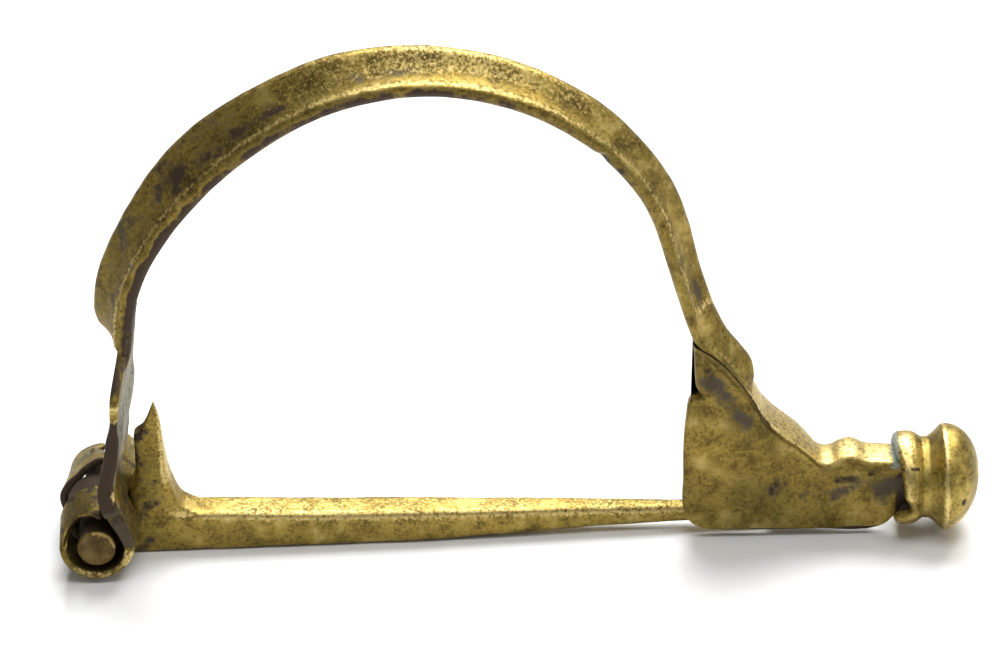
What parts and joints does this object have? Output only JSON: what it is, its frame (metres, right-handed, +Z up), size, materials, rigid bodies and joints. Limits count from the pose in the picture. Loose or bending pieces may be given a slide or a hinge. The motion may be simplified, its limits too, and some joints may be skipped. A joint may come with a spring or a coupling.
{
  "type": "roman fibula brooch",
  "caption": "Roman bow brooch in worn copper alloy, with a rolled hinge, a hinged pin, a ridged arched bow, a catchplate and a domed foot knob.",
  "frame": {"origin": "middle of the brooch's length and width, on the surface that it stands on", "axes": "+X from the hinge to the foot knob, +Y across the brooch away from the catchplate's flat outer face, +Z up to the crown of the bow"},
  "size_m": [0.0552, 0.0092, 0.0328],
  "materials": {
    "worn_brass": "worn, with brown patina in the hollows",
    "hinge_brass": "dull, brown patina",
    "pin_brass": "hammered, satin",
    "knob_brass": "satin, polished by wear"
  },
  "bodies": {
    "frame": {"bow": "worn_brass", "hinge_axis": "hinge_brass", "foot_knob": "knob_brass"},
    "pin": {"pin": "pin_brass"}
  },
  "joints": [
    {"name": "pin_hinge", "type": "hinge", "parent": "frame", "child": "pin", "pos_m": [-0.02515, 0, 0.0023], "axis": [0, 1, 0], "range_deg": [0, 110]}
  ]
}
